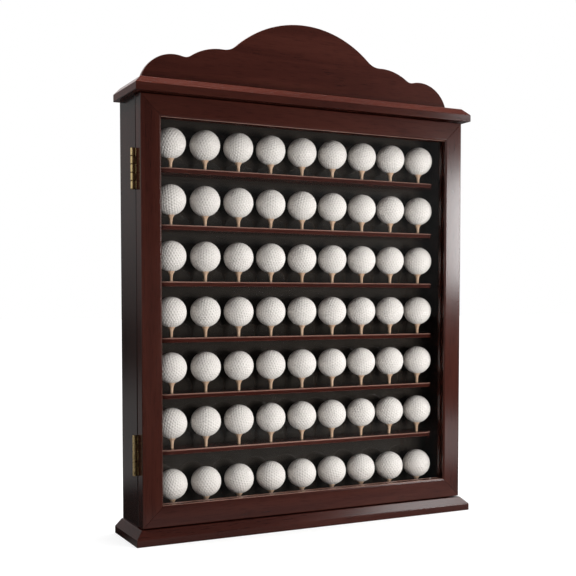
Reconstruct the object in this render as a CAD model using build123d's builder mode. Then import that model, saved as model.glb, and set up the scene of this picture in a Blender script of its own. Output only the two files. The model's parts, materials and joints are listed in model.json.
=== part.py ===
"""Display case for golf balls: a shallow wooden cabinet with a glazed door.

The case stands on a shelf or hangs on a wall. Seven rows of balls on tees stand on six thin
shelves and on the floor of the case. The door is one mitred frame with a glass pane, hung on
two butt hinges at its left edge and held shut by a magnet at its right edge.

Frame: X runs to the right, Y runs to the rear, Z runs up, in millimetres. The origin is in
the middle of the footprint, on the surface that the case stands on.
"""

import os
from math import cos, pi, radians, sin, tau

from build123d import *

os.makedirs("parts", exist_ok=True)

# ---- Driving dimensions ---------------------------------------------------------------------

# Balls and tees
ball_diameter = 42.67
ball_pitch = 50.8
columns = 9
rows = 7
ball_rear_clearance = 4.7
ball_facets = 8
ball_cap_latitude = 75.0
tee_height = 14.4
tee_facets = 6
tee_cup_radius = 5.5
tee_cup_drop = 5.2
tee_neck_radius = 2.7
tee_foot_radius = 2.1

# Shelves
shelf_thickness = 7.0
shelf_pitch = 77.1
lowest_shelf_rise = 85.2
top_shelf_headroom = 76.8
shelf_end_margin = 0.5
shelf_front_setback = 0.5
shelf_corner_radius = 15.0
shelf_arris = 1.5
shelf_dado_depth = 2.0

# Case
side_thickness = 18.0
floor_thickness = 17.0
top_thickness = 17.0
back_panel_thickness = 6.0
panel_groove_depth = 6.0
panel_groove_clearance = 0.5
interior_depth = 42.0
rear_recess = 19.0
shelf_end_gap = 15.0
case_arris = 1.5

# Base board and cornice board
base_thickness = 20.0
base_side_overhang = 12.0
cornice_thickness = 20.0
cornice_side_overhang = 9.5
front_overhang = 11.0
board_bevel = 10.0

# Pediment: a central dome between two pairs of lobes
pediment_thickness = 9.0
pediment_setback = 38.6
dome_height = 102.5
dome_radius = 162.0
dome_cove_radius = 28.0
inner_lobe_place = 131.0
inner_lobe_height = 54.5
inner_lobe_radius = 80.0
outer_lobe_place = 200.0
outer_lobe_height = 40.2
outer_lobe_radius = 50.0
lobe_cove_radius = 14.0

# Door
door_thickness = 20.0
door_gap = 2.0
door_end_gap = 1.5
door_frame_width = 29.0
door_arris = 1.5
door_inner_bevel = 2.0
rebate_width = 8.0
rebate_depth = 11.0
glass_thickness = 3.0
glass_clearance = 1.0
bead_bevel = 2.0

# Hinges
hinge_length = 55.0
hinge_end_distance = 97.0
knuckle_radius = 3.0
knuckle_count = 5
knuckle_gap = 0.3
pin_facets = 10
barrel_stand_off = 4.0
barrel_clearance = 0.5
hinge_pin_radius = 1.6
pin_clearance = 0.05
leaf_width = 16.0
leaf_thickness = 1.5
leaf_gap = 0.2
mortise_clearance = 0.2
leaf_screw_spacing = 30.0

# Wood screws
screw_facets = 6
screw_head_radius = 3.0
screw_head_depth = 1.4
screw_shank_radius = 1.6
screw_length = 14.0
screw_point_length = 3.0
screw_point_radius = 0.4

# Magnetic catch
magnet_radius = 4.0
magnet_length = 6.0
strike_radius = 5.0
strike_thickness = 1.5
strike_proud = 0.8
catch_gap = 0.3

# Wall hangers
hanger_rail_height = 60.0
hanger_rail_inset = 2.0
hanger_spacing = 406.4  # wall studs stand 16 inches apart
hanger_plate_width = 20.0
hanger_plate_height = 46.0
hanger_plate_thickness = 1.5
keyhole_radius = 4.5
keyhole_slot_radius = 2.25
keyhole_slot_rise = 9.0
hanger_screw_margin = 6.0
hanger_pocket_margin = 1.5

# ---- Derived places -------------------------------------------------------------------------

ball_radius = ball_diameter / 2
shelf_length = (columns - 1) * ball_pitch + ball_diameter + 2 * shelf_end_margin
inner_half_width = shelf_length / 2 + shelf_end_gap
outer_half_width = inner_half_width + side_thickness
side_middle = inner_half_width + side_thickness / 2

case_depth = interior_depth + back_panel_thickness + rear_recess
total_depth = front_overhang + door_thickness + door_gap + case_depth
rear = total_depth / 2
board_front = -total_depth / 2
door_front = board_front + front_overhang
door_back = door_front + door_thickness
case_front = door_back + door_gap
panel_front = case_front + interior_depth
panel_back = panel_front + back_panel_thickness
ball_line = panel_front - ball_rear_clearance - ball_radius
shelf_front = case_front + shelf_front_setback

case_bottom = base_thickness
floor_top = case_bottom + floor_thickness
shelf_tops = [floor_top + lowest_shelf_rise + level * shelf_pitch for level in range(rows - 1)]
top_underside = shelf_tops[-1] + top_shelf_headroom
case_top = top_underside + top_thickness
cornice_top = case_top + cornice_thickness
standing_levels = [floor_top] + shelf_tops

door_bottom = case_bottom + door_end_gap
door_top = case_top - door_end_gap
door_middle = (door_bottom + door_top) / 2
opening_half_width = outer_half_width - door_frame_width
opening_bottom = door_bottom + door_frame_width
opening_top = door_top - door_frame_width
opening_height = opening_top - opening_bottom
glass_front = door_back - rebate_depth
glass_back = glass_front + glass_thickness

hinge_x = -outer_half_width - barrel_stand_off
hinge_y = (door_back + case_front) / 2
hinge_heights = [door_bottom + hinge_end_distance, door_top - hinge_end_distance]
leaf_start = hinge_x + knuckle_radius + barrel_clearance
leaf_end = leaf_start + leaf_width
leaf_screw_x = -side_middle
case_leaf_face = hinge_y + leaf_gap / 2
door_leaf_face = hinge_y - leaf_gap / 2

magnet_proud = door_gap - strike_proud - catch_gap

rail_rear = rear - hanger_rail_inset
hanger_middle = top_underside - hanger_rail_height / 2
plate_rear = rail_rear + hanger_plate_thickness


def write_step(piece, name):
    """Label a finished piece and write it to its own file."""
    piece.part.label = name
    export_step(piece.part, f"parts/{name}.step")


def ring(radius, height, sides):
    """Points spaced evenly round a level circle about the Z axis."""
    return [
        (radius * cos(tau * step / sides), radius * sin(tau * step / sides), height)
        for step in range(sides)
    ]


def add_turned(stations, sides):
    """Add a turned form with flat facets. A station is a height and the radius there."""
    for (height, radius), (next_height, next_radius) in zip(stations, stations[1:]):
        ConvexPolyhedron(ring(radius, height, sides) + ring(next_radius, next_height, sides))


# ---- Wood screws ----------------------------------------------------------------------------

with BuildPart() as screw:
    screw_stations = [
        (0.0, screw_head_radius),
        (-screw_head_depth, screw_shank_radius),
        (screw_point_length - screw_length, screw_shank_radius),
        (-screw_length, screw_point_radius),
    ]
    add_turned(screw_stations, screw_facets)


def wood_screws(places, facing):
    """Countersunk screws with their heads at the given places.

    facing is 1 where the screws run to the rear and -1 where they run to the front.
    """
    with BuildPart() as screws:
        with Locations(*places):
            add(screw.part, rotation=(90 * facing, 0, 0))
    return screws


leaf_screw_heights = [
    height + offset
    for height in hinge_heights
    for offset in (-leaf_screw_spacing / 2, leaf_screw_spacing / 2)
]
hinge_screws_case = wood_screws([(leaf_screw_x, case_leaf_face, z) for z in leaf_screw_heights], 1)
write_step(hinge_screws_case, "hinge_screws_case")

hinge_screws_door = wood_screws([(leaf_screw_x, door_leaf_face, z) for z in leaf_screw_heights], -1)
write_step(hinge_screws_door, "hinge_screws_door")

hanger_screw_rise = hanger_plate_height / 2 - hanger_screw_margin
hanger_screws = wood_screws(
    [
        (side * hanger_spacing / 2, plate_rear, hanger_middle + rise)
        for side in (-1, 1)
        for rise in (-hanger_screw_rise, hanger_screw_rise)
    ],
    -1,
)
write_step(hanger_screws, "hanger_screws")

# ---- Base board and cornice board -----------------------------------------------------------


def bevelled_board(half_width, underside, thickness):
    """A board as deep as the case, with its upper front and side edges bevelled."""
    with BuildPart() as board:
        with BuildSketch(Plane.XY.offset(underside)):
            Rectangle(2 * half_width, total_depth)
        extrude(amount=thickness)
        upper_edges = board.faces().sort_by(Axis.Z)[-1].edges()
        chamfer(upper_edges.sort_by(Axis.Y)[:-1], board_bevel)
    return board


base_board = bevelled_board(outer_half_width + base_side_overhang, 0.0, base_thickness)
write_step(base_board, "base_board")

cornice_board = bevelled_board(
    outer_half_width + cornice_side_overhang, case_top, cornice_thickness
)
write_step(cornice_board, "cornice_board")

# ---- Pediment -------------------------------------------------------------------------------

pediment_front = board_front + pediment_setback

with BuildPart() as pediment:
    with BuildSketch(Plane.XZ.offset(-pediment_front)) as outline:
        with Locations((0, cornice_top + dome_height - dome_radius)):
            Circle(dome_radius)
        with Locations((0, cornice_top + inner_lobe_height - inner_lobe_radius)):
            with GridLocations(2 * inner_lobe_place, 0, 2, 1):
                Circle(inner_lobe_radius)
        with Locations((0, cornice_top + outer_lobe_height - outer_lobe_radius)):
            with GridLocations(2 * outer_lobe_place, 0, 2, 1):
                Circle(outer_lobe_radius)
        with Locations((0, cornice_top)):
            Rectangle(
                2 * outer_half_width + 2 * outer_lobe_radius,
                2 * dome_radius,
                align=(Align.CENTER, Align.MAX),
                mode=Mode.SUBTRACT,
            )
        dome_coves = outline.vertices().group_by(Axis.Y)[-1]
        fillet(dome_coves, dome_cove_radius)
        lobe_coves = outline.vertices().group_by(Axis.Y)[1]
        fillet(lobe_coves, lobe_cove_radius)
    extrude(amount=-pediment_thickness)
write_step(pediment, "pediment")

# ---- Case sides -----------------------------------------------------------------------------


def side_board(side):
    """One upright of the case, with a groove for the back panel. side is -1 for the left."""
    with BuildPart() as board:
        with BuildSketch(Plane.XY.offset(case_bottom)):
            with Locations((side * side_middle, (case_front + rear) / 2)):
                Rectangle(side_thickness, case_depth)
            with Locations((side * inner_half_width, (panel_front + panel_back) / 2)):
                Rectangle(2 * panel_groove_depth, back_panel_thickness, mode=Mode.SUBTRACT)
        extrude(amount=case_top - case_bottom)
        uprights = board.edges().filter_by(Axis.Z)
        front_uprights = uprights.group_by(Axis.Y)[0].sort_by(Axis.X)
        outer_arris = front_uprights[0] if side < 0 else front_uprights[-1]
        fillet(outer_arris, case_arris)
    return board


with BuildPart() as left_side:
    add(side_board(-1).part)
    leaf_bed_depth = case_leaf_face + leaf_thickness - case_front
    with BuildSketch(Plane.XZ.offset(-case_front)):
        for height in hinge_heights:
            with Locations((leaf_end + mortise_clearance, height)):
                Rectangle(
                    leaf_end + mortise_clearance - hinge_x,
                    hinge_length + 2 * mortise_clearance,
                    align=(Align.MAX, Align.CENTER),
                )
    extrude(amount=-leaf_bed_depth, mode=Mode.SUBTRACT)
    add(hinge_screws_case.part, mode=Mode.SUBTRACT)
write_step(left_side, "left_side")

with BuildPart() as right_side:
    add(side_board(1).part)
    with BuildSketch(Plane.XZ.offset(-case_front)):
        with Locations((side_middle, door_middle)):
            Circle(magnet_radius)
    extrude(amount=-(magnet_length - magnet_proud), mode=Mode.SUBTRACT)
write_step(right_side, "right_side")

# ---- Floor panel and top panel --------------------------------------------------------------


def cross_panel(underside, thickness, groove_height):
    """A level panel between the sides, grooved on one face for the back panel."""
    with BuildPart() as panel:
        with BuildSketch(Plane.XY.offset(underside)):
            with Locations((0, (case_front + rear) / 2)):
                Rectangle(2 * inner_half_width, case_depth)
        extrude(amount=thickness)
        with BuildSketch(Plane.XY.offset(groove_height)):
            with Locations((0, (panel_front + panel_back) / 2)):
                Rectangle(2 * inner_half_width, back_panel_thickness)
        extrude(amount=panel_groove_depth, mode=Mode.SUBTRACT)
    return panel


floor_panel = cross_panel(case_bottom, floor_thickness, floor_top - panel_groove_depth)
write_step(floor_panel, "floor_panel")

top_panel = cross_panel(top_underside, top_thickness, top_underside)
write_step(top_panel, "top_panel")

# ---- Back panel -----------------------------------------------------------------------------

panel_tongue = panel_groove_depth - panel_groove_clearance

with BuildPart() as back_panel:
    with BuildSketch(Plane.XZ.offset(-panel_front)):
        with Locations((0, (floor_top + top_underside) / 2)):
            Rectangle(
                2 * (inner_half_width + panel_tongue),
                top_underside - floor_top + 2 * panel_tongue,
            )
    extrude(amount=-back_panel_thickness)
    with BuildSketch(Plane.XZ.offset(-panel_front)):
        for shelf_top in shelf_tops:
            with Locations((0, shelf_top - shelf_thickness / 2)):
                Rectangle(shelf_length, shelf_thickness)
    extrude(amount=-shelf_dado_depth, mode=Mode.SUBTRACT)
write_step(back_panel, "back_panel")

# ---- Shelves --------------------------------------------------------------------------------

shelf_rear = panel_front + shelf_dado_depth

for level, shelf_top in enumerate(shelf_tops, start=1):
    with BuildPart() as shelf:
        with BuildSketch(Plane.XY.offset(shelf_top - shelf_thickness)) as plan:
            with Locations((0, (shelf_front + shelf_rear) / 2)):
                Rectangle(shelf_length, shelf_rear - shelf_front)
            fillet(plan.vertices().group_by(Axis.Y)[0], shelf_corner_radius)
        extrude(amount=shelf_thickness)
        upper_arrises = shelf.faces().sort_by(Axis.Z)[-1].edges().sort_by(Axis.Y)[:-1]
        lower_arrises = shelf.faces().sort_by(Axis.Z)[0].edges().sort_by(Axis.Y)[:-1]
        chamfer(upper_arrises + lower_arrises, shelf_arris)
    write_step(shelf, f"shelf_{level}")

# ---- Tees and balls -------------------------------------------------------------------------

with BuildPart() as tee:
    tee_stations = [
        (0.0, tee_foot_radius),
        (tee_height - tee_cup_drop, tee_neck_radius),
        (tee_height, tee_cup_radius),
    ]
    add_turned(tee_stations, tee_facets)

ball_sole = ball_radius * sin(radians(ball_cap_latitude))

with BuildPart() as ball:
    ball_points = []
    for share in (-1.0, -0.5, 0.0, 0.5, 1.0):
        latitude = radians(share * ball_cap_latitude)
        ball_points += ring(ball_radius * cos(latitude), ball_radius * sin(latitude), ball_facets)
    ConvexPolyhedron(ball_points)

for row, level in enumerate(standing_levels, start=1):
    with BuildPart() as tees:
        with Locations((0, ball_line, level)):
            with GridLocations(ball_pitch, 0, columns, 1):
                add(tee.part)
    write_step(tees, f"tees_row_{row}")

    with BuildPart() as balls:
        with Locations((0, ball_line, level + tee_height + ball_sole)):
            with GridLocations(ball_pitch, 0, columns, 1):
                add(ball.part)
    write_step(balls, f"balls_row_{row}")

# ---- Door frame: four mitred members with a rebate for the glass ----------------------------


def door_member(outline_points, along):
    """One stile or rail, mitred at both ends. along is the axis that the member runs along."""
    with BuildPart() as member:
        with BuildSketch(Plane.XZ.offset(-door_front)):
            with BuildLine():
                Polyline(*outline_points, close=True)
            make_face()
        extrude(amount=-door_thickness)
        with BuildSketch(Plane.XZ.offset(-glass_front)):
            with Locations((0, door_middle)):
                Rectangle(
                    2 * (opening_half_width + rebate_width),
                    opening_height + 2 * rebate_width,
                )
        extrude(amount=-rebate_depth, mode=Mode.SUBTRACT)
        long_edges = member.edges().filter_by(along)
        front_edges = long_edges.group_by(Axis.Y)[0]
        back_edges = long_edges.group_by(Axis.Y)[-1]
        door_centre = (0, hinge_y, door_middle)
        inner_arris = front_edges.sort_by_distance(door_centre)[0]
        outer_front = front_edges.sort_by_distance(door_centre)[-1]
        outer_back = back_edges.sort_by_distance(door_centre)[-1]
        chamfer(inner_arris, door_inner_bevel)
        fillet([outer_front, outer_back], door_arris)
    return member


def stile_outline(side):
    """Mitred outline of a stile. side is -1 for the left stile."""
    return [
        (side * outer_half_width, door_bottom),
        (side * opening_half_width, opening_bottom),
        (side * opening_half_width, opening_top),
        (side * outer_half_width, door_top),
    ]


def rail_outline(outer_height, inner_height):
    """Mitred outline of a rail between its outer and inner edges."""
    return [
        (-outer_half_width, outer_height),
        (outer_half_width, outer_height),
        (opening_half_width, inner_height),
        (-opening_half_width, inner_height),
    ]


with BuildPart() as door_left_stile:
    add(door_member(stile_outline(-1), Axis.Z).part)
    leaf_sink = door_back - (door_leaf_face - leaf_thickness)
    with BuildSketch(Plane.XZ.offset(-door_back)):
        for height in hinge_heights:
            with Locations((leaf_end + mortise_clearance, height)):
                Rectangle(
                    leaf_end + mortise_clearance - hinge_x,
                    hinge_length + 2 * mortise_clearance,
                    align=(Align.MAX, Align.CENTER),
                )
    extrude(amount=leaf_sink, mode=Mode.SUBTRACT)
    add(hinge_screws_door.part, mode=Mode.SUBTRACT)
write_step(door_left_stile, "door_left_stile")

with BuildPart() as door_right_stile:
    add(door_member(stile_outline(1), Axis.Z).part)
    with BuildSketch(Plane.XZ.offset(-door_back)):
        with Locations((side_middle, door_middle)):
            Circle(strike_radius)
    extrude(amount=strike_thickness - strike_proud, mode=Mode.SUBTRACT)
write_step(door_right_stile, "door_right_stile")

door_top_rail = door_member(rail_outline(door_top, opening_top), Axis.X)
write_step(door_top_rail, "door_top_rail")

door_bottom_rail = door_member(rail_outline(door_bottom, opening_bottom), Axis.X)
write_step(door_bottom_rail, "door_bottom_rail")

# ---- Glass and glazing beads ----------------------------------------------------------------

with BuildPart() as door_glass:
    with BuildSketch(Plane.XZ.offset(-glass_front)):
        with Locations((0, door_middle)):
            Rectangle(
                2 * (opening_half_width + rebate_width - glass_clearance),
                opening_height + 2 * (rebate_width - glass_clearance),
            )
    extrude(amount=-glass_thickness)
write_step(door_glass, "door_glass")


def glazing_bead(outline_points, along):
    """One mitred bead that holds the glass from the rear, with a bevelled inner edge."""
    with BuildPart() as bead:
        with BuildSketch(Plane.XZ.offset(-glass_back)):
            with BuildLine():
                Polyline(*outline_points, close=True)
            make_face()
        extrude(amount=-(rebate_depth - glass_thickness))
        rear_edges = bead.edges().filter_by(along).group_by(Axis.Y)[-1]
        inner_edge = rear_edges.sort_by_distance((0, door_back, door_middle))[0]
        chamfer(inner_edge, bead_bevel)
    return bead


bead_half_width = opening_half_width + rebate_width
bead_bottom = opening_bottom - rebate_width
bead_top = opening_top + rebate_width

for name, side in (("left", -1), ("right", 1)):
    upright_bead = glazing_bead(
        [
            (side * bead_half_width, bead_bottom),
            (side * opening_half_width, opening_bottom),
            (side * opening_half_width, opening_top),
            (side * bead_half_width, bead_top),
        ],
        Axis.Z,
    )
    write_step(upright_bead, f"glazing_bead_{name}")

for name, outer, inner in (("top", bead_top, opening_top), ("bottom", bead_bottom, opening_bottom)):
    level_bead = glazing_bead(
        [
            (-bead_half_width, outer),
            (bead_half_width, outer),
            (opening_half_width, inner),
            (-opening_half_width, inner),
        ],
        Axis.X,
    )
    write_step(level_bead, f"glazing_bead_{name}")

# ---- Butt hinges ----------------------------------------------------------------------------

knuckle_length = (hinge_length - (knuckle_count - 1) * knuckle_gap) / knuckle_count
bore_corner_radius = (hinge_pin_radius + pin_clearance) / cos(pi / pin_facets)


def hinge_leaf(height, plate_front, knuckles, screws):
    """One leaf: a plate with the knuckles that roll round the pin, and its screw holes."""
    bottom = height - hinge_length / 2
    with BuildPart() as leaf:
        with BuildSketch(Plane.XY.offset(bottom)):
            with Locations((leaf_start, plate_front)):
                Rectangle(leaf_width, leaf_thickness, align=(Align.MIN, Align.MIN))
        extrude(amount=hinge_length)
        for knuckle in knuckles:
            knuckle_bottom = bottom + knuckle * (knuckle_length + knuckle_gap)
            with BuildSketch(Plane.XY.offset(knuckle_bottom)):
                with Locations((hinge_x, plate_front)):
                    Rectangle(leaf_start - hinge_x, leaf_thickness, align=(Align.MIN, Align.MIN))
                with Locations((hinge_x, hinge_y)):
                    Circle(knuckle_radius)
                    RegularPolygon(bore_corner_radius, pin_facets, mode=Mode.SUBTRACT)
            extrude(amount=knuckle_length)
        add(screws.part, mode=Mode.SUBTRACT)
    return leaf


case_knuckles = range(0, knuckle_count, 2)
door_knuckles = range(1, knuckle_count, 2)

for name, height in zip(("lower", "upper"), hinge_heights):
    case_leaf = hinge_leaf(height, case_leaf_face, case_knuckles, hinge_screws_case)
    write_step(case_leaf, f"hinge_{name}_case_leaf")

    door_leaf = hinge_leaf(height, door_leaf_face - leaf_thickness, door_knuckles, hinge_screws_door)
    write_step(door_leaf, f"hinge_{name}_door_leaf")

    with BuildPart() as hinge_pin:
        with BuildSketch(Plane.XY.offset(height - hinge_length / 2)):
            with Locations((hinge_x, hinge_y)):
                RegularPolygon(hinge_pin_radius, pin_facets)
        extrude(amount=hinge_length)
    write_step(hinge_pin, f"hinge_{name}_pin")

# ---- Magnetic catch -------------------------------------------------------------------------

with BuildPart() as catch_magnet:
    with BuildSketch(Plane.XZ.offset(-(case_front - magnet_proud))):
        with Locations((side_middle, door_middle)):
            Circle(magnet_radius)
    extrude(amount=-magnet_length)
write_step(catch_magnet, "catch_magnet")

with BuildPart() as strike_plate:
    with BuildSketch(Plane.XZ.offset(-(door_back + strike_proud))):
        with Locations((side_middle, door_middle)):
            Circle(strike_radius)
    extrude(amount=strike_thickness)
write_step(strike_plate, "strike_plate")

# ---- Hanging rail and keyhole hangers -------------------------------------------------------

keyhole_foot = hanger_middle - keyhole_slot_rise / 2
pocket_width = 2 * (keyhole_radius + hanger_pocket_margin)

with BuildPart() as hanging_rail:
    with BuildSketch(Plane.XZ.offset(-panel_back)):
        with Locations((0, hanger_middle)):
            Rectangle(2 * inner_half_width, hanger_rail_height)
            with GridLocations(hanger_spacing, 0, 2, 1):
                Rectangle(pocket_width, keyhole_slot_rise + pocket_width, mode=Mode.SUBTRACT)
    extrude(amount=-(rail_rear - panel_back))
    add(hanger_screws.part, mode=Mode.SUBTRACT)
write_step(hanging_rail, "hanging_rail")

with BuildPart() as hanger_plates:
    with BuildSketch(Plane.XZ.offset(-rail_rear)):
        with Locations((0, hanger_middle)):
            with GridLocations(hanger_spacing, 0, 2, 1):
                Rectangle(hanger_plate_width, hanger_plate_height)
                SlotCenterToCenter(
                    keyhole_slot_rise, 2 * keyhole_slot_radius, rotation=90, mode=Mode.SUBTRACT
                )
        with Locations((0, keyhole_foot)):
            with GridLocations(hanger_spacing, 0, 2, 1):
                Circle(keyhole_radius, mode=Mode.SUBTRACT)
    extrude(amount=-hanger_plate_thickness)
    add(hanger_screws.part, mode=Mode.SUBTRACT)
write_step(hanger_plates, "hanger_plates")
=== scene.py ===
# %% [markdown]
# # A glazed display case for golf balls
# This lesson dresses a CAD model of a wooden wall case. The case has a mitred, glazed door on two
# brass hinges, six thin shelves, and sixty-three golf balls on tees.
# The CAD model gives every piece its place and its size. This script gives the pieces their
# finish, and models again those whose CAD form is plainer than the real one: boards, shelves,
# balls, tees, hinges and screws.

import json
import math
import random

import bmesh
import bpy
from mathutils import Euler, Matrix, Vector, kdtree

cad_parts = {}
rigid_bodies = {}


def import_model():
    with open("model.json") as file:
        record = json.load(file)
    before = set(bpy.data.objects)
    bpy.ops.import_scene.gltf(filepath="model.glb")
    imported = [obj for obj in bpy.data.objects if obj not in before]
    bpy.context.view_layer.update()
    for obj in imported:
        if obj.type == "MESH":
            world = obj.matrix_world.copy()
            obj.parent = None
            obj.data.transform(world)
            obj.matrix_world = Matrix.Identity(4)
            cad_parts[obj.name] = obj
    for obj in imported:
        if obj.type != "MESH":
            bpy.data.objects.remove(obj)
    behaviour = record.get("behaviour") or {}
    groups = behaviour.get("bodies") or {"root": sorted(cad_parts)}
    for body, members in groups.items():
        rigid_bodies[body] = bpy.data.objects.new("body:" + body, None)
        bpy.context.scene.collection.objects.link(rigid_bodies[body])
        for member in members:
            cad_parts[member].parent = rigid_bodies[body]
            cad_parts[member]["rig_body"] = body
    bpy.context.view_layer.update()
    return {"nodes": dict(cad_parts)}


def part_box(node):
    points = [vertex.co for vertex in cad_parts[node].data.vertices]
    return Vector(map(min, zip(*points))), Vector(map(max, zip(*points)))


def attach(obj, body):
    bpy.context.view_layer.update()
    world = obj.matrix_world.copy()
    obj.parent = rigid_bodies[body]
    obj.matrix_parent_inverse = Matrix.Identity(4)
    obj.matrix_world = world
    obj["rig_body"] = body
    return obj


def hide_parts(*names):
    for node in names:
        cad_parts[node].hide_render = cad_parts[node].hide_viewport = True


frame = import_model()
MM = 0.001

# %% [markdown]
# ## The camera
# The case is seen from its left, a little below its middle, so both the door and the hinge side
# show. The camera stays almost level and its picture is shifted up. This is what an architect's
# camera does, and it keeps the uprights nearly parallel.

# %% Camera
camera_turn = math.radians(26.7)
camera_dip = math.radians(2.72)
bpy.ops.object.camera_add(
    location=(-0.6766, -1.3022, 0.3285),
    rotation=(math.pi / 2 - camera_dip, 0, -camera_turn),
)
camera = bpy.context.object
camera.data.sensor_width = 36
camera.data.lens = 62.18
camera.data.shift_y = 0.1024
bpy.context.scene.camera = camera
print("camera at", tuple(camera.location), "lens", camera.data.lens)

# %% [markdown]
# ## Helpers for shader nodes
# A material is a small network of nodes. Adding a node, setting it and linking it takes several
# lines each time, so one helper does all three. An input that is given a socket gets a link, and
# an input that is given a value gets the value. The others add the kinds of node that come back
# most: a ramp of colours or greys, a sum, a range of numbers, and a blend of two levels.


# %% Node helpers
def add_node(tree, kind, inputs=None, **settings):
    """Add a shader node, set its options, and set or link its inputs."""
    node = tree.nodes.new("ShaderNode" + kind)
    for name, value in settings.items():
        setattr(node, name, value)
    for name, value in (inputs or {}).items():
        if isinstance(value, bpy.types.NodeSocket):
            tree.links.new(value, node.inputs[name])
        else:
            node.inputs[name].default_value = value
    return node


def add_ramp(tree, factor, stops):
    """Turn a grey value into colours. A stop is a place from 0 to 1 and a colour."""
    ramp = add_node(tree, "ValToRGB", {"Fac": factor})
    while len(ramp.color_ramp.elements) < len(stops):
        ramp.color_ramp.elements.new(0.5)
    for element, (place, colour) in zip(ramp.color_ramp.elements, stops):
        element.position = place
        element.color = (*colour, 1)
    return ramp.outputs["Color"]


def add_grey_ramp(tree, factor, stops):
    """Turn a grey value into other greys. A stop is a place and a level, both from 0 to 1."""
    return add_ramp(tree, factor, [(place, (level,) * 3) for place, level in stops])


def add_math(tree, operation, first, second, clamp=False):
    """Work out one number from two. Each is a socket or a plain number."""
    inputs = {0: first, 1: second}
    return add_node(tree, "Math", inputs, operation=operation, use_clamp=clamp).outputs[0]


def add_range(tree, value, given=(0.0, 1.0), wanted=(0.0, 1.0)):
    """Map the numbers of one range evenly onto another."""
    inputs = {"Value": value, "From Min": given[0], "From Max": given[1]}
    inputs.update({"To Min": wanted[0], "To Max": wanted[1]})
    return add_node(tree, "MapRange", inputs).outputs["Result"]


def mix_level(tree, factor, low, high):
    """Blend two plain numbers or grey sockets by a factor."""
    inputs = {"Factor": factor, "A": low, "B": high}
    return add_node(tree, "Mix", inputs).outputs["Result"]


print("node helpers are ready")

# %% [markdown]
# ## What the camera sees directly
# White paper has to be white in the picture, and still be a quiet light for the case. Light Path
# tells a shader which kind of ray asks for its colour, so it can give each kind its own answer.
# The camera's own rays look directly. So do rays that came through glass, as long as no mirror
# and no matt surface has turned them.


# %% Direct view
def seen_directly(tree):
    """1 where the camera looks at a surface directly or straight through glass, otherwise 0."""
    ray = add_node(tree, "LightPath").outputs
    turns = add_math(tree, "ADD", ray["Glossy Depth"], ray["Diffuse Depth"])
    unturned = add_math(tree, "LESS_THAN", turns, 0.5)
    through = add_math(tree, "MULTIPLY", ray["Is Transmission Ray"], unturned)
    return add_math(tree, "MAXIMUM", ray["Is Camera Ray"], through)


print("direct view can be told apart")

# %% [markdown]
# ## The studio's matt light
# The world is the studio round the case. Matt surfaces get a quiet light from it, stronger from
# above and from the right, as beside a window.

# %% World, as matt surfaces see it
level_light = 0.25
ceiling_light = 1.5
world = bpy.data.worlds.new("studio")
bpy.context.scene.world = world
world.use_nodes = True
world.cycles.sampling_method = "NONE"
sky = world.node_tree
direction = add_node(sky, "TexCoord").outputs["Generated"]
heading = add_node(sky, "SeparateXYZ", {0: direction}).outputs
overhead = add_range(sky, heading["Z"], wanted=(level_light, ceiling_light))
window = add_range(sky, heading["X"], given=(-0.3, 0.8), wanted=(0.05, 1.1))
matt_light = add_math(sky, "MULTIPLY", overhead, window)
print("light from", level_light, "at the horizon to", ceiling_light, "overhead")

# %% [markdown]
# ## The studio's reflections
# Gloss mirrors the world as a real studio would look: white paper behind and to the right, a
# pale wall on the far left that the brass hinges catch, and a dark room in front and above. That
# is why a dark, glossy case keeps its colour in front and gleams at its side. Each ramp reads
# how far a direction points towards the paper, to the right or up, and gives the brightness
# there. The camera itself sees plain white.

# %% World, as gloss mirrors it
paper_direction = Vector((0.6, 0.75, 0.3)).normalized()
paper_wall = [(0.0, 0.05), (0.4, 0.34), (0.72, 0.28), (0.85, 1.0)]
right_wall = [(0.30, 0.0), (0.56, 0.10), (0.62, 0.25), (0.75, 1.0)]
wall_height = [(0.0, 0.4), (0.09, 1.0), (0.5, 1.0), (0.8, 0.2)]
facing = {0: direction, 1: paper_direction}
facing = add_node(sky, "VectorMath", facing, operation="DOT_PRODUCT").outputs["Value"]
paper_wall = add_grey_ramp(sky, facing, paper_wall)
right_wall = add_grey_ramp(sky, heading["X"], right_wall)
wall_height = add_grey_ramp(sky, heading["Z"], wall_height)
left_wall = add_range(sky, heading["X"], given=(-0.85, -0.4), wanted=(0.9, 0.0))
walls = add_math(sky, "MAXIMUM", paper_wall, right_wall)
walls = add_math(sky, "MULTIPLY", walls, wall_height)
walls = add_math(sky, "ADD", walls, left_wall)
glossy = add_node(sky, "LightPath").outputs["Is Glossy Ray"]
level = mix_level(sky, glossy, matt_light, walls)
level = mix_level(sky, seen_directly(sky), level, 1.0)
sky.links.new(level, sky.nodes["Background"].inputs["Strength"])
sky.nodes["Background"].inputs["Color"].default_value = (1, 1, 1, 1)
print("white paper towards", [round(v, 2) for v in paper_direction])

# %% [markdown]
# ## The lamps
# Six soft boxes light the case. The key box stands in front, a little to the right and low, and
# gives the balls their round shading. The stile box is narrow and stands further round, where the
# glossy wood of the right stile mirrors it as one soft gleam. The top box hangs above, and lights
# the upper bevels. The bevel box stands high on the right, and the base's bevel mirrors it. Two
# small ones near the right end, low and high, lay a grey sheen on the corners there.
# A lamp's strength is given as the brightness of its face, so its size can be changed freely.


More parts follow.
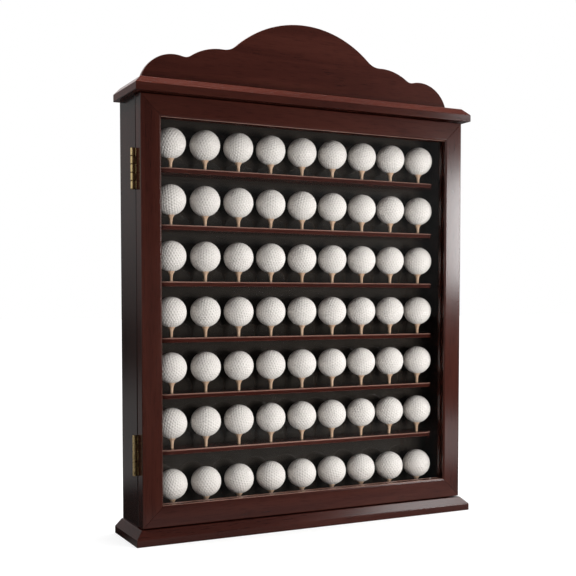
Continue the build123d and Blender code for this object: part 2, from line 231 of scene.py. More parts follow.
# %% Lamps
def soft_box(name, place, aim, width, height, brightness, mirrored=True):
    """A rectangular area lamp. brightness is that of its face, where 1 is plain white."""
    bpy.ops.object.light_add(type="AREA", location=place)
    lamp = bpy.context.object
    lamp.name = name
    lamp.rotation_euler = (Vector(place) - Vector(aim)).to_track_quat("Z", "Y").to_euler()
    lamp.data.shape = "RECTANGLE"
    lamp.data.size = width
    lamp.data.size_y = height
    lamp.data.energy = brightness * math.pi * width * height
    lamp.visible_camera = False
    lamp.visible_transmission = False
    lamp.visible_glossy = mirrored
    return lamp


key_box = soft_box(
    "key_box", place=(0.42, -1.22, 0.20), aim=(0, 0, 0.29),
    width=0.5, height=0.5, brightness=19.0, mirrored=False,
)
stile_box = soft_box(
    "stile_box", place=(0.845, -0.80, 0.50), aim=(0.244, -0.039, 0.42),
    width=0.10, height=0.28, brightness=30.0,
)
top_box = soft_box(
    "top_box", place=(-0.06, 0.03, 0.98), aim=(-0.06, 0.03, 0.6),
    width=1.0, height=0.2, brightness=25.0, mirrored=False,
)
bevel_box = soft_box(
    "bevel_box", place=(1.02, -0.34, 1.20), aim=(0.2, -0.045, 0.015),
    width=0.5, height=0.3, brightness=6.0,
)
low_box = soft_box(
    "low_box", place=(0.47, -0.42, 0.0475), aim=(0.25, -0.045, 0.0625),
    width=0.24, height=0.095, brightness=2.2,
)
high_box = soft_box(
    "high_box", place=(0.54, -0.40, 0.715), aim=(0.27, -0.05, 0.63),
    width=0.08, height=0.08, brightness=4.0,
)
lamps = (key_box, stile_box, top_box, bevel_box, low_box, high_box)
print("watts of each lamp:", {lamp.name: round(lamp.data.energy, 2) for lamp in lamps})

# %% [markdown]
# ## The floor
# The case stands on the same white paper, which runs out of sight. The lamps light it like any
# matt surface, so the case throws its shadow on it. Towards the camera it also glows, more so
# far away, where the lamps' light thins out. That hides the line where floor and wall meet.
# Gloss mirrors a quieter floor, or its pale light would wash out the glass and the dark wood:
# a pale strip before the case, a grey one well behind it, and dark boards elsewhere.


# %% Floor
def new_finish(name):
    """A new material, its node tree and its main shader."""
    material = bpy.data.materials.new(name)
    material.use_nodes = True
    tree = material.node_tree
    return material, tree, tree.nodes["Principled BSDF"]


def set_sockets(shader, **values):
    """Set a shader's even numbers and colours. Coat_Weight stands for its Coat Weight."""
    for socket, value in values.items():
        shader.inputs[socket.replace("_", " ")].default_value = value


def answer_rays(tree, asked, usual, other):
    """Show rays of one kind another shader than the usual one."""
    both = add_node(tree, "MixShader", {0: asked, 1: usual, 2: other})
    tree.links.new(both.outputs[0], tree.nodes["Material Output"].inputs["Surface"])


bpy.ops.mesh.primitive_plane_add(size=30, location=(0, 0, -0.1 * MM))
floor = bpy.context.object
floor.name = "floor"
floor_paper, tree, paper = new_finish("floor_paper")
set_sockets(
    paper, Base_Color=(0.38, 0.38, 0.38, 1), Roughness=0.9, Specular_IOR_Level=0.0,
    Emission_Color=(1, 1, 1, 1),
)
place = add_node(tree, "TexCoord").outputs["Object"]
away = add_node(tree, "VectorMath", {0: place}, operation="LENGTH").outputs["Value"]
glow = add_range(tree, away, given=(0.4, 2.0), wanted=(0.68, 1.0))
glow = add_math(tree, "MULTIPLY", seen_directly(tree), glow)
tree.links.new(glow, paper.inputs["Emission Strength"])
behind = add_node(tree, "SeparateXYZ", {0: place}).outputs["Y"]
behind = add_range(tree, behind, given=(-1.0, 4.0))
strips = [
    (0.150, 0.02), (0.165, 0.28), (0.194, 0.28), (0.206, 0.02),
    (0.262, 0.02), (0.300, 0.22), (0.550, 0.50), (0.950, 0.08),
]
quiet_floor = {"Color": add_grey_ramp(tree, behind, strips)}
quiet_floor = add_node(tree, "BsdfDiffuse", quiet_floor).outputs["BSDF"]
glossy = add_node(tree, "LightPath").outputs["Is Glossy Ray"]
mirrored = add_math(tree, "SUBTRACT", glossy, seen_directly(tree), clamp=True)
answer_rays(tree, mirrored, paper.outputs["BSDF"], quiet_floor)
floor.data.materials.append(floor_paper)
print("floor at", round(floor.location.z / MM, 2), "mm, with", len(strips), "stops of grey")

# %% [markdown]
# ## Lacquered mahogany
# The case is stained wood under clear lacquer. Three things make that finish: broad bands of
# lighter and darker wood, short dark pores that run with the grain, and a smooth coat over both.
# The bands and pores are noise, stretched along the grain by a Mapping node. A board keeps its
# grain along its length, so level and upright boards have a material each. The two sides are
# painted darker, as painted shade, since less light reaches them. The wood inside the case is
# painted a little lighter, as painted light for the brighter light it gets, and has a smoother
# coat. Along the door's opening and the top edge of a shelf a pale finish paints a fine bright
# line, a painted highlight.

# %% Lacquer
outer_coat = 0.2
inner_coat = 0.08
outer_woods = [(0.0250, 0.0056, 0.0038), (0.0375, 0.0088, 0.0058), (0.0505, 0.0130, 0.0085)]
# The sides' colours are darker as painted shade: less light reaches the sides than the front.
shaded_side_woods = [(0.0150, 0.0044, 0.0032), (0.0225, 0.0070, 0.0050), (0.0300, 0.0100, 0.0075)]
# The inner wood's colours are lighter as painted light, for the brighter light inside the case.
lit_inner_woods = [(0.0300, 0.0065, 0.0045), (0.0460, 0.0110, 0.0075), (0.0640, 0.0170, 0.0115)]
# A pale finish that paints highlight lines along the door's opening and the shelves' top edges.
highlight_woods = [(0.2150, 0.1050, 0.0800), (0.3050, 0.1650, 0.1300), (0.4100, 0.2500, 0.2050)]


def multiply_colours(tree, first, second):
    """Multiply two colour sockets. A Mix node's inputs 6 and 7 are its colours A and B."""
    inputs = {0: 1.0, 6: first, 7: second}
    return add_node(tree, "Mix", inputs, data_type="RGBA", blend_type="MULTIPLY").outputs[2]


def lacquered_wood(name, along_grain, woods, coat_roughness):
    """Stained, lacquered wood, from dark to light. along_grain is 0, 1 or 2 for X, Y or Z."""
    material, tree, shader = new_finish(name)
    place = add_node(tree, "TexCoord").outputs["Object"]
    stretch = [1.0, 1.0, 1.0]
    stretch[along_grain] = 0.07
    grain = add_node(tree, "Mapping", {"Vector": place, "Scale": stretch}).outputs["Vector"]
    noise = {"Vector": grain, "Scale": 38.0, "Detail": 6.0, "Roughness": 0.62, "Distortion": 0.9}
    bands = add_node(tree, "TexNoise", noise).outputs["Fac"]
    noise = {"Vector": grain, "Scale": 620.0, "Detail": 2.0}
    pores = add_node(tree, "TexNoise", noise).outputs["Fac"]
    wood = add_ramp(tree, bands, list(zip((0.28, 0.5, 0.74), woods)))
    pore_shade = add_grey_ramp(tree, pores, [(0.34, 0.74), (0.46, 1.0)])
    stained = multiply_colours(tree, wood, pore_shade)
    tree.links.new(stained, shader.inputs["Base Color"])
    under_coat = add_grey_ramp(tree, bands, [(0.2, 0.55), (0.8, 0.65)])
    tree.links.new(under_coat, shader.inputs["Roughness"])
    bump = add_node(tree, "Bump", {"Height": pores, "Strength": 0.12, "Distance": 0.2 * MM})
    tree.links.new(bump.outputs["Normal"], shader.inputs["Normal"])
    set_sockets(
        shader, Specular_IOR_Level=0.0, Coat_Weight=0.8, Coat_Roughness=coat_roughness,
        Coat_IOR=1.5,
    )
    return material


level_mahogany = lacquered_wood("level_mahogany", 0, outer_woods, outer_coat)
upright_mahogany = lacquered_wood("upright_mahogany", 2, outer_woods, outer_coat)
# The sides' darker wood is painted shade.
shaded_side_mahogany = lacquered_wood("shaded_side_mahogany", 2, shaded_side_woods, outer_coat)
# The lighter inner wood is painted light.
lit_inner_level = lacquered_wood("lit_inner_mahogany", 0, lit_inner_woods, inner_coat)
# The pale finishes are painted highlights.
highlight_level = lacquered_wood("highlight_level_mahogany", 0, highlight_woods, inner_coat)
highlight_upright = lacquered_wood("highlight_upright_mahogany", 2, highlight_woods, inner_coat)
print("wood materials:", [m.name for m in bpy.data.materials if "mahogany" in m.name])

# %% [markdown]
# ## Black lacquer and bare wood
# The back panel is thin board under black lacquer, smooth enough to mirror the shelves softly.
# The hanging rail behind it is bare wood, since only the wall sees it. Both, and every finish
# below, vary a little in colour and in roughness from place to place, as real ones do. One noise
# gives both, so the darker places are also the smoother ones.


# %% Panel and rail finishes
def plain_finish(name, colours, roughness, scale, stretch=(1, 1, 1), bump=None, **values):
    """One noise between two colours and two roughnesses. bump is a strength and a distance."""
    material, tree, shader = new_finish(name)
    place = add_node(tree, "TexCoord").outputs["Object"]
    grain = add_node(tree, "Mapping", {"Vector": place, "Scale": stretch}).outputs["Vector"]
    noise = {"Vector": grain, "Scale": scale, "Detail": 5.0, "Roughness": 0.6}
    pattern = add_node(tree, "TexNoise", noise).outputs["Fac"]
    colour = add_ramp(tree, pattern, list(zip((0.3, 0.7), colours)))
    tree.links.new(colour, shader.inputs["Base Color"])
    rough = add_grey_ramp(tree, pattern, list(zip((0.3, 0.7), roughness)))
    tree.links.new(rough, shader.inputs["Roughness"])
    if bump:
        relief = {"Height": pattern, "Strength": bump[0], "Distance": bump[1]}
        relief = add_node(tree, "Bump", relief).outputs["Normal"]
        tree.links.new(relief, shader.inputs["Normal"])
    set_sockets(shader, **values)
    return material


black_lacquer = plain_finish(
    "black_lacquer", [(0.0250, 0.0207, 0.0172), (0.0330, 0.0273, 0.0230)], (0.28, 0.40),
    scale=60.0, stretch=(0.1, 1, 1), Coat_Weight=1.0, Coat_Roughness=0.07, Coat_IOR=1.9,
    Specular_IOR_Level=0.0,
)
bare_wood = plain_finish(
    "bare_wood", [(0.30, 0.175, 0.080), (0.46, 0.300, 0.155)], (0.55, 0.72),
    scale=45.0, stretch=(0.06, 1, 1), bump=(0.25, 0.4 * MM),
)
print("finishes:", black_lacquer.name, bare_wood.name)

# %% [markdown]
# ## Metals
# The hinges are solid brass that has dulled a little. The hanger plates and their screws are
# zinc-plated steel, whose plating shows pale flakes. The magnet is plated with nickel.
# All three get their colour from the metal itself, so Metallic is 1, and their life comes from
# small changes of roughness.

# %% Metals
brass = plain_finish(
    "brass", [(0.56, 0.405, 0.185), (0.78, 0.600, 0.310)], (0.24, 0.42),
    scale=260.0, bump=(0.15, 0.1 * MM), Metallic=1.0,
)
zinc_steel = plain_finish(
    "zinc_steel", [(0.42, 0.435, 0.45), (0.62, 0.635, 0.65)], (0.28, 0.46),
    scale=340.0, Metallic=1.0,
)
nickel = plain_finish(
    "nickel", [(0.50, 0.49, 0.47), (0.60, 0.59, 0.57)], (0.16, 0.28),
    scale=180.0, Metallic=1.0,
)
print("metals:", brass.name, zinc_steel.name, nickel.name)

# %% [markdown]
# ## Tees and balls
# A tee is turned from pale hardwood, with its grain along its length. A ball has a cover of
# tough white plastic. Its dimples are real geometry, so the material only needs the faint
# unevenness of paint, a clear gloss, and painted shade that darkens the dimples. How deep
# a point lies is stored on the ball's mesh, under the name dimple.

# %% Tee wood and ball cover
tee_wood = plain_finish(
    "tee_wood", [(0.50, 0.310, 0.190), (0.74, 0.530, 0.380)], (0.42, 0.58),
    scale=420.0, stretch=(1, 1, 0.08), Coat_Weight=0.3, Coat_Roughness=0.25,
)
ball_cover = plain_finish(
    "ball_cover", [(0.77, 0.725, 0.685), (0.83, 0.785, 0.745)], (0.38, 0.50),
    scale=90.0, Specular_IOR_Level=0.35,
)
# Painted shade in the dimples: the cover is greyed where the mesh lies deeper.
dimple_painted_shade = (0.91, 0.905, 0.90)
tree = ball_cover.node_tree
cover_colour = tree.nodes["Principled BSDF"].inputs["Base Color"]
depth = add_node(tree, "Attribute", attribute_name="dimple").outputs["Fac"]
grey = add_ramp(tree, depth, [(0.1, (1.0, 1.0, 1.0)), (0.8, dimple_painted_shade)])
dimple_shaded_cover = multiply_colours(tree, cover_colour.links[0].from_socket, grey)
tree.links.new(dimple_shaded_cover, cover_colour)
print("finishes:", tee_wood.name, ball_cover.name)

# %% [markdown]
# ## Glass
# The pane is clear float glass, with the faint green of its iron. Real glass would throw a full
# shadow here, since light only reaches what is behind it by being bent. So lamps, and light that
# has already bounced, pass it unbent, and the camera still sees glass that mirrors and bends.

# %% Glass
pane_glass, tree, clear = new_finish("pane_glass")
place = add_node(tree, "TexCoord").outputs["Object"]
ripple = {"Vector": place, "Scale": 9.0, "Detail": 1.0}
ripple = add_node(tree, "TexNoise", ripple).outputs["Fac"]
tint = add_ramp(tree, ripple, [(0.3, (0.968, 0.978, 0.972)), (0.7, (0.978, 0.984, 0.980))])
tree.links.new(tint, clear.inputs["Base Color"])
set_sockets(clear, Transmission_Weight=1.0, Roughness=0.0, IOR=1.46)
ray = add_node(tree, "LightPath").outputs
passes = add_math(tree, "MAXIMUM", ray["Is Shadow Ray"], ray["Is Diffuse Ray"])
unbent = add_node(tree, "BsdfTransparent").outputs["BSDF"]
answer_rays(tree, passes, clear.outputs["BSDF"], unbent)
print("glass:", pane_glass.name)

# %% [markdown]
# ## Nodes that keep their CAD shape
# The pane, and flat boards that are half hidden, are right as the CAD model made them, so they
# only get a finish. Their mesh isn't touched.

# %% Finishes on CAD nodes
cad_finishes = {
    "floor_panel": lit_inner_level,
    "top_panel": lit_inner_level,
    "back_panel": black_lacquer,
    "hanging_rail": bare_wood,
    "door_glass": pane_glass,
}
for name, finish in cad_finishes.items():
    mesh = frame["nodes"][name].data
    mesh.materials.clear()
    mesh.materials.append(finish)
print("CAD nodes with a finish:", len(cad_finishes))

# %% [markdown]
# ## Working on one piece at a time
# An operator acts on everything that is selected, so each step starts by selecting one piece and
# nothing else. In edit mode the parts to work on are found by a test of their place or normal.


# %% Selection helpers
def work_on(piece, editing=False):
    """Make a piece the only one selected, and enter edit mode if asked, with nothing picked."""
    if bpy.context.object and bpy.context.object.mode != "OBJECT":
        bpy.ops.object.mode_set(mode="OBJECT")
    bpy.ops.object.select_all(action="DESELECT")
    bpy.context.view_layer.objects.active = piece
    piece.select_set(True)
    if editing:
        bpy.ops.object.mode_set(mode="EDIT")
        bpy.ops.mesh.select_all(action="DESELECT")


def pick(piece, kind, wanted):
    """Select the vertices, edges or faces that pass a test, and return how many did."""
    bpy.ops.mesh.select_mode(type=kind)
    bpy.ops.mesh.select_all(action="DESELECT")
    mesh = bmesh.from_edit_mesh(piece.data)
    mesh.normal_update()
    parts = {"VERT": mesh.verts, "EDGE": mesh.edges, "FACE": mesh.faces}[kind]
    found = [part for part in parts if wanted(part)]
    for part in found:
        part.select_set(True)
    mesh.select_flush_mode()
    bmesh.update_edit_mesh(piece.data)
    return len(found)


def is_arris(edge, least=28):
    """True for an edge whose two faces meet at an angle of more degrees than least."""
    return len(edge.link_faces) == 2 and edge.calc_face_angle() > math.radians(least)


def apply_modifier(piece, kind, **settings):
    """Add a modifier with these settings and apply it at once."""
    modifier = piece.modifiers.new(kind.lower(), kind)
    for name, value in settings.items():
        setattr(modifier, name, value)
    bpy.ops.object.modifier_apply(modifier=modifier.name)


def smooth_shading(piece, angle=35):
    """Shade round forms smoothly and keep broad flats truly flat."""
    work_on(piece)
    bpy.ops.object.shade_smooth_by_angle(angle=math.radians(angle))
    apply_modifier(piece, "WEIGHTED_NORMAL", keep_sharp=True, weight=100)


def set_finishes(piece, *finishes):
    """Put these materials in the mesh's slots, which keeps each face's slot number."""
    while len(piece.data.materials) < len(finishes):
        piece.data.materials.append(None)
    for index, finish in enumerate(finishes):
        piece.data.materials[index] = finish


def settle(piece, body, slot, *nodes):
    """Tie a finished piece to its body, and let it stand for its CAD nodes. slot is not used."""
    piece.data.name = piece.name
    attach(piece, body)
    if nodes:
        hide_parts(*nodes)
    faces = len(piece.data.polygons)
    print(f"{piece.name}: {faces} faces on {body}")


def joined_copies(source, name, places):
    """Copy a piece to each place, and join the copies into one piece."""
    copies = []
    for place in places:
        copy = bpy.data.objects.new(name, source.data.copy())
        bpy.context.scene.collection.objects.link(copy)
        copy.data.transform(place)
        copies.append(copy)
    work_on(copies[0])
    for copy in copies[1:]:
        copy.select_set(True)
    bpy.ops.object.join()
    joined = bpy.context.object
    joined.name = name
    return joined


# %% [markdown]
# ## Boards with eased edges
# A joiner takes every sharp edge off with fine paper before the lacquer goes on. That small
# rounding is what catches the light. Each visible board is a copy of its CAD node, merged into
# one clean solid, with its sharp edges bevelled. Copying keeps every size and joint right.
# Where two members of the door frame meet, their eased edges leave the fine line of a mitre.
# The glazing beads behind the pane get a larger round on the one edge that shows.


# %% Eased copies
same_point = 0.002 * MM
same_plane = math.radians(0.5)


def eased_copy(node, name, width, finishes, segments=3, choose=is_arris):
    """Copy a CAD node's mesh, make it one clean solid, and round its chosen edges."""
    piece = bpy.data.objects.new(name, frame["nodes"][node].data.copy())
    bpy.context.scene.collection.objects.link(piece)
    set_finishes(piece, *finishes)
    work_on(piece, editing=True)
    bpy.ops.mesh.select_all(action="SELECT")
    bpy.ops.mesh.remove_doubles(threshold=same_point)
    bpy.ops.mesh.dissolve_limited(angle_limit=same_plane)
    pick(piece, "EDGE", choose)
    bpy.ops.mesh.bevel(offset=width, segments=segments, affect="EDGES", clamp_overlap=False)
    smooth_shading(piece)
    return piece


opening_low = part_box("door_left_stile")[1].x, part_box("door_bottom_rail")[1].z
opening_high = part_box("door_right_stile")[0].x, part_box("door_top_rail")[0].z
print("opening, mm:", [round(v / MM, 2) for v in (*opening_low, *opening_high)])

# %% [markdown]
# ## Which edges are eased
# The sides are eased only along their length, so that their ends stay tight against the base
# and the cornice. The door's members are eased only in front, because their rebates behind must
# stay sharp to hold the glass. A face at the opening that slants, or that looks up from the
# bottom rail, gets the pale finish of a painted highlight.

# %% Edge tests
opening_reach = 0.6 * MM
side_edge_length = 400 * MM
bead_edge_length = 100 * MM
front_plane = -30.0 * MM
pane_rear_plane = -19.1 * MM


def at_opening(point):
    """True for a point on the edge of the door's opening, or inside it."""
    x, _, z = point
    beyond = opening_low[0] - x, x - opening_high[0], opening_low[1] - z, z - opening_high[1]
    return max(beyond) < opening_reach


def outer_arris(edge):
    return is_arris(edge) and edge.calc_length() > side_edge_length


def front_arris(edge):
    return is_arris(edge) and all(v.co.y < front_plane for v in edge.verts)


def bead_arris(edge):
    at_rear = all(v.co.y > pane_rear_plane and at_opening(v.co) for v in edge.verts)
    return is_arris(edge) and at_rear and edge.calc_length() > bead_edge_length


# Faces that take the pale finish of a painted highlight.
def is_painted_highlight(face, node):
    slanting = 0.05 < abs(face.normal.y) < 0.99
    looks_up = "bottom" in node and face.normal.z > 0.5
    return at_opening(face.center) and (slanting or looks_up)


print("edges count as the opening's within", round(opening_reach / MM, 2), "mm")

# %% [markdown]
# ## The boards
# Each line names a board, what it rides on, its finishes, the width of its eased edge, and the
# test that chooses its edges. A second finish is the pale one of a painted highlight.

# %% Eased boards
level_pair = (level_mahogany, highlight_level)
upright_pair = (upright_mahogany, highlight_upright)
boards = {
    "base_board": ("case", (level_mahogany,), 0.8 * MM, is_arris),
    "cornice_board": ("case", (level_mahogany,), 0.8 * MM, is_arris),
    "pediment": ("case", (level_mahogany,), 1.0 * MM, is_arris),
    "left_side": ("case", (shaded_side_mahogany,), 0.3 * MM, outer_arris),
    "right_side": ("case", (shaded_side_mahogany,), 0.3 * MM, outer_arris),
    "door_top_rail": ("door", level_pair, 0.5 * MM, front_arris),
    "door_bottom_rail": ("door", level_pair, 0.5 * MM, front_arris),
    "door_left_stile": ("door", upright_pair, 0.5 * MM, front_arris),
    "door_right_stile": ("door", (upright_mahogany,), 0.5 * MM, front_arris),
    "glazing_bead_top": ("door", level_pair, 1.2 * MM, bead_arris),
    "glazing_bead_bottom": ("door", level_pair, 1.2 * MM, bead_arris),
    "glazing_bead_left": ("door", upright_pair, 1.2 * MM, bead_arris),
    "glazing_bead_right": ("door", upright_pair, 1.2 * MM, bead_arris),
}
for node, (body, finishes, width, chosen) in boards.items():
    board = eased_copy(node, "eased_" + node, width, finishes, choose=chosen)
    for face in board.data.polygons:
        # The chosen faces get the painted highlight.
        if len(finishes) > 1 and is_painted_highlight(face, node):
            face.material_index = 1
    settle(board, body, "mahogany_lacquer", node)

# %% [markdown]
# ## Shelves
# A shelf is a thin board whose two front corners are cut to a large radius, with a small round
# along its edges. The upper round takes a pale finish, a painted highlight that shows as a bright
# line. One shelf is modelled from a block: the corners are rounded first, so that the small round
# can run on round them. Then it is copied to the height of each of the six.

# %% Shelves
shelf_corner = 15 * MM
shelf_round = 1.5 * MM
level_slack = 0.01 * MM
shelf_low, shelf_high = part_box("shelf_1")
bpy.ops.object.select_all(action="DESELECT")
bpy.ops.mesh.primitive_cube_add(
    size=1, location=(shelf_low + shelf_high) / 2, scale=shelf_high - shelf_low
)
shelf = bpy.context.object
bpy.ops.object.transform_apply(location=True, rotation=True, scale=True)
set_finishes(shelf, lit_inner_level, highlight_level)


def rise(edge):
    return abs(edge.verts[0].co.z - edge.verts[1].co.z)


def front_corner(edge):
    return rise(edge) > 1 * MM and edge.verts[0].co.y < 0


def shelf_arris(edge):
    at_rear = all(v.co.y > shelf_high.y - level_slack for v in edge.verts)
    return is_arris(edge) and rise(edge) < level_slack and not at_rear


work_on(shelf, editing=True)
corners = pick(shelf, "EDGE", front_corner)
bpy.ops.mesh.bevel(offset=shelf_corner, segments=12, affect="EDGES")
arrises = pick(shelf, "EDGE", shelf_arris)
# The small round takes the painted highlight; faces that look down get the plain wood back below.
bpy.ops.mesh.bevel(offset=shelf_round, segments=4, affect="EDGES", material=1)
smooth_shading(shelf)
for face in shelf.data.polygons:
    if face.normal.z < -0.05:
        face.material_index = 0
print("shelf corners:", corners, "arrises:", arrises)
shelves = []
for number in range(1, 7):
    node = f"shelf_{number}"
    copy = bpy.data.objects.new(f"rounded_{node}", shelf.data.copy())
    bpy.context.scene.collection.objects.link(copy)
    copy.data.transform(Matrix.Translation((0, 0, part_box(node)[0].z - shelf_low.z)))
    settle(copy, "case", "mahogany_lacquer", node)
    shelves.append(copy)
bpy.data.objects.remove(shelf)

# %% [markdown]
# ## What each mirrored lamp shines on
# Light linking gives a lamp a collection of pieces. From some sides the pane, the black panel
# and the shelves would mirror the stile box and the bevel box as hard white patches, so these
# two shine on everything but them. The low box and the high box shine only on the few boards
# that need their sheen.

# %% Light linking
flat_gloss = bpy.data.collections.new("flat_gloss")
for name in ("door_glass", "back_panel", "top_panel", "floor_panel"):
    flat_gloss.objects.link(frame["nodes"][name])
for piece in shelves:
    flat_gloss.objects.link(piece)
for member in flat_gloss.collection_objects:
    member.light_linking.link_state = "EXCLUDE"
for lamp in (stile_box, bevel_box):
    lamp.light_linking.receiver_collection = flat_gloss
    print(lamp.name, "leaves out", len(flat_gloss.objects), "pieces")
sheens = {
    low_box: ("eased_door_right_stile", "eased_door_bottom_rail", "eased_base_board"),
    high_box: ("eased_cornice_board",),
}
for lamp, names in sheens.items():
    sheen_boards = bpy.data.collections.new("lit_by_" + lamp.name)
    for name in names:
        sheen_boards.objects.link(bpy.data.objects[name])
    lamp.light_linking.receiver_collection = sheen_boards
    print(lamp.name, "shines only on", names)

# %% [markdown]
# ## A golf ball
# A ball has several hundred round dimples, spread evenly. An icosahedron with each edge cut into
# six and blown up to a sphere has 362 evenly spread points, and these are the dimple centres.
# Cutting each edge again gives rings of points round every centre. The centres and rings are
# scaled towards the middle of the ball, the centre most, so each dimple becomes a shallow dish.

# %% A round ball
ball_radius = 21.335 * MM
dimple_cuts = 6
ring_cuts = 5


def cut_and_round(piece, parts):
    """Cut each edge into so many parts, and push every point out to the sphere."""
    work_on(piece, editing=True)
    bpy.ops.mesh.select_all(action="SELECT")
    bpy.ops.mesh.subdivide(number_cuts=parts - 1)
    work_on(piece)
    apply_modifier(
        piece, "CAST", cast_type="SPHERE", factor=1.0, size=ball_radius,
        use_radius_as_size=False,
    )


bpy.ops.object.select_all(action="DESELECT")
bpy.ops.mesh.primitive_ico_sphere_add(subdivisions=1, radius=ball_radius, location=(0, 0, 0))
ball = bpy.context.object
cut_and_round(ball, dimple_cuts)
dimples = len(ball.data.vertices)
centres = kdtree.KDTree(dimples)
for index, point in enumerate(ball.data.vertices):
    centres.insert(point.co, index)
centres.balance()
cut_and_round(ball, ring_cuts)
print("dimples:", dimples, "points:", len(ball.data.vertices))

# %% [markdown]
# ## Dimples
# Each entry of the table is a ring round every centre: where it begins and ends, and how deep it
# sinks, in millimetres. The depth is then stored point by point, for the ball's material.

# %% Dimples
dimple_rings = [(0.0, 0.5, 0.70), (0.5, 1.15, 0.60), (1.15, 1.62, 0.28), (1.62, 1.86, 0.14)]
deepest = dimple_rings[0][2] * MM


def between(inner, outer):
    """A test for points whose distance from the nearest centre lies between two values."""
    return lambda point: inner <= centres.find(point.co)[2] / MM < outer


work_on(ball, editing=True)
for inner, outer, depth in dimple_rings:
    count = pick(ball, "VERT", between(inner, outer))
    shrink = 1 - depth * MM / ball_radius
    bpy.ops.transform.resize(value=(shrink,) * 3, center_override=(0, 0, 0))
    print(f"ring from {inner} to {outer} mm: {count} points sunk {depth} mm")
work_on(ball)
bpy.ops.object.shade_smooth()
sunk = ball.data.attributes.new("dimple", "FLOAT", "POINT")
for index, point in enumerate(ball.data.vertices):
    sunk.data[index].value = (ball_radius - point.co.length) / deepest
set_finishes(ball, ball_cover)
print("one ball has", len(ball.data.polygons), "faces")

# %% [markdown]
# ## Seven rows of balls
# Nobody lines up the dimples when putting balls on tees, so every copy is turned at random.
# The numbers come from a fixed seed, which gives the same balls each time. Nine balls
# are joined into one row, as in the CAD model.

# %% Rows of balls
chance = random.Random(18)
ball_pitch = 50.8 * MM
ball_low, ball_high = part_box("balls_row_1")
ball_line = (ball_low.y + ball_high.y) / 2


def any_way():
    """A turn that points a ball any way at all."""
    return Euler([chance.uniform(0, math.tau) for _ in range(3)]).to_matrix().to_4x4()


def spin():
    """A turn by any angle about an upright axis."""
    return Matrix.Rotation(chance.uniform(0, math.tau), 4, "Z")


def nine_places(height, turn):
    """Nine places side by side at one height, each with a random turn."""
    places = []
    for column in range(9):
        across = (column - 4) * ball_pitch
        places.append(Matrix.Translation((across, ball_line, height)) @ turn())
    return places


for row in range(1, 8):
    low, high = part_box(f"balls_row_{row}")
    places = nine_places((low.z + high.z) / 2, any_way)
    balls = joined_copies(ball, f"golf_balls_row_{row}", places)
    settle(balls, "case", "ball_cover", f"balls_row_{row}")
bpy.data.objects.remove(ball)

# %% [markdown]
# ## Tees
# A tee is turned on a lathe: a slim neck that flares into a cup. A ring of points is extruded
# upwards and scaled at each height, which is how a turned form grows. The rim is rounded, and
# the cup is sunk inside it, so the ball sits on the rim and not on a flat top.


# %% One tee
def turned_form(profile, sides):
    """Turn a form from (height, radius) pairs in mm: extrude a ring and scale it each time."""
    last_height, last_radius = profile[0]
    bpy.ops.object.select_all(action="DESELECT")
    bpy.ops.mesh.primitive_circle_add(
        vertices=sides, radius=last_radius * MM, fill_type="NGON",
        location=(0, 0, last_height * MM),
    )
    form = bpy.context.object
    bpy.ops.object.transform_apply(location=True, rotation=True, scale=True)
    work_on(form, editing=True)
    bpy.ops.mesh.select_all(action="SELECT")
    for height, radius in profile[1:]:
        bpy.ops.mesh.extrude_region_move(
            TRANSFORM_OT_translate={"value": (0, 0, (height - last_height) * MM)}
        )
        share = radius / last_radius
        bpy.ops.transform.resize(value=(share, share, 1), center_override=(0, 0, height * MM))
        last_height, last_radius = height, radius
    bpy.ops.mesh.select_all(action="SELECT")
    bpy.ops.mesh.normals_make_consistent(inside=False)
    return form


tee_profile = [
    (0.0, 2.10), (3.0, 2.15), (6.0, 2.30), (8.2, 2.55), (9.8, 2.95), (11.2, 3.55),
    (12.4, 4.30), (13.3, 4.95), (13.9, 5.30), (14.2, 5.40), (14.4, 5.32),
    (14.3, 5.05), (13.7, 4.40), (13.2, 3.00), (13.0, 1.20),
]
tee = turned_form(tee_profile, sides=20)
work_on(tee)
bpy.ops.object.shade_smooth_by_angle(angle=math.radians(50))
set_finishes(tee, tee_wood)
print("tee faces:", len(tee.data.polygons), "height", round(tee.dimensions.z / MM, 2), "mm")

# %% [markdown]
# ## Seven rows of tees
# Every tee stands under its ball, at the height that the CAD model gives it. Each is turned by
# an angle of its own, since nobody lines up tees either.

# %% Rows of tees
for row in range(1, 8):
    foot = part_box(f"tees_row_{row}")[0].z
    tees = joined_copies(tee, f"turned_tees_row_{row}", nine_places(foot, spin))
    settle(tees, "case", "tee_wood", f"tees_row_{row}")
bpy.data.objects.remove(tee)

# %% [markdown]
# ## Hinges
# Each hinge has two brass leaves, let into the case and the door, whose knuckles interlock round
# a pin. The CAD nodes have the right form. Their copies get eased edges, so that each knuckle
# reads as its own short tube.

# %% Hinges
knuckle_plane = -258.5 * MM


def round_end(edge):
    at_knuckle = min(v.co.x for v in edge.verts) < knuckle_plane
    return is_arris(edge, least=60) and at_knuckle


for place in ("lower", "upper"):
    for body in ("case", "door"):
        node = f"hinge_{place}_{body}_leaf"
        leaf = eased_copy(node, f"brass_{node}", 1.0 * MM, (brass,), choose=round_end)
        settle(leaf, body, "brass", node)
    node = f"hinge_{place}_pin"
    pin = eased_copy(node, f"brass_{node}", 0.2 * MM, (brass,), segments=2)
    settle(pin, frame["nodes"][node]["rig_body"], "brass", node)

# %% [markdown]
# ## Screws
# Countersunk wood screws hold the hinges and the hanger plates. A screw is turned like a tee,
# from its point to its flat head. A saw cut across the head makes the slot: a thin block is
# taken away from it. Nobody stops every screw at the same turn, so each slot lies its own way.

# %% One screw
screw_profile = [(-14.0, 0.4), (-11.0, 1.6), (-1.4, 1.6), (-0.2, 2.9), (0.0, 3.0)]
saw_cut = (8 * MM, 0.8 * MM, 1.4 * MM)


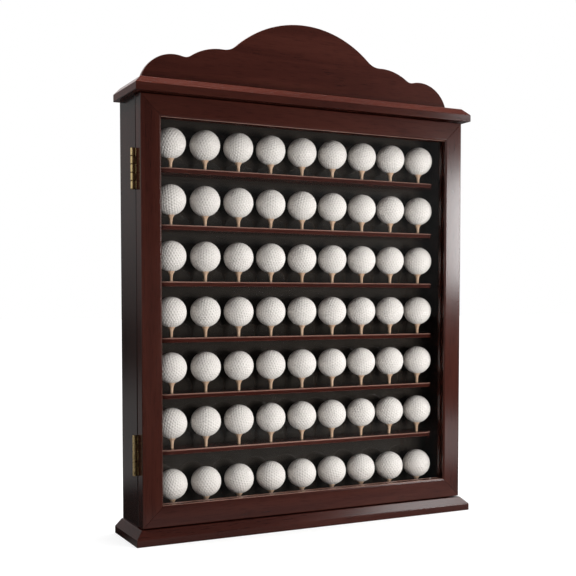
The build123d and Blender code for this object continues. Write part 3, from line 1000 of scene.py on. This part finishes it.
def slotted_screw(finish):
    """A countersunk screw with its point down and the middle of its head at the origin."""
    screw = turned_form(screw_profile, sides=24)
    work_on(screw)
    bpy.ops.mesh.primitive_cube_add(size=1, location=(0, 0, 0), scale=saw_cut)
    cutter = bpy.context.object
    work_on(screw)
    apply_modifier(screw, "BOOLEAN", operation="DIFFERENCE", object=cutter, solver="EXACT")
    bpy.data.objects.remove(cutter)
    smooth_shading(screw)
    set_finishes(screw, finish)
    return screw


print("screw length:", screw_profile[-1][0] - screw_profile[0][0], "mm")

# %% [markdown]
# ## Where the screws go
# The places are the CAD model's, in millimetres: across, the plane of the heads, and height.
# facing says which way the heads look: 1 to the front, as in the case's leaves, and -1 to the
# rear, as in the door's leaves and the hanger plates.

# %% Sets of screws
hinge_screw_x = -249.035
hanger_x = 203.2
hinge_heads = [(hinge_screw_x, z) for z in (103.5, 133.5, 488.0, 518.0)]
hanger_heads = [(x, z) for x in (-hanger_x, hanger_x) for z in (537.5, 571.5)]
screw_sets = {
    "hinge_screws_case": ("brass", brass, -17.9, 1, hinge_heads),
    "hinge_screws_door": ("brass", brass, -18.1, -1, hinge_heads),
    "hanger_screws": ("zinc_steel", zinc_steel, 49.5, -1, hanger_heads),
}
for node, (slot, finish, head_plane, facing, heads) in screw_sets.items():
    screw = slotted_screw(finish)
    lay_down = Matrix.Rotation(math.pi / 2 * facing, 4, "X")
    places = []
    for x, z in heads:
        place = Matrix.Translation(Vector((x, head_plane, z)) * MM)
        places.append(place @ lay_down @ spin())
    screws = joined_copies(screw, "slotted_" + node, places)
    settle(screws, frame["nodes"][node]["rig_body"], slot, node)
    bpy.data.objects.remove(screw)

# %% [markdown]
# ## Small metal parts
# The magnet, its strike plate and the hanger plates are plain in shape. They keep their CAD form
# with eased edges, and get their own metal.

# %% Small metal parts
small_parts = {
    "catch_magnet": ("magnet", nickel, 0.3 * MM),
    "strike_plate": ("zinc_steel", zinc_steel, 0.2 * MM),
    "hanger_plates": ("zinc_steel", zinc_steel, 0.2 * MM),
}
for node, (slot, finish, width) in small_parts.items():
    part = eased_copy(node, "eased_" + node, width, (finish,), segments=2)
    settle(part, frame["nodes"][node]["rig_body"], slot, node)

# %% [markdown]
# Last, the picture is shown through the Standard view transform.

# %% Finish
bpy.context.scene.view_settings.view_transform = "Standard"
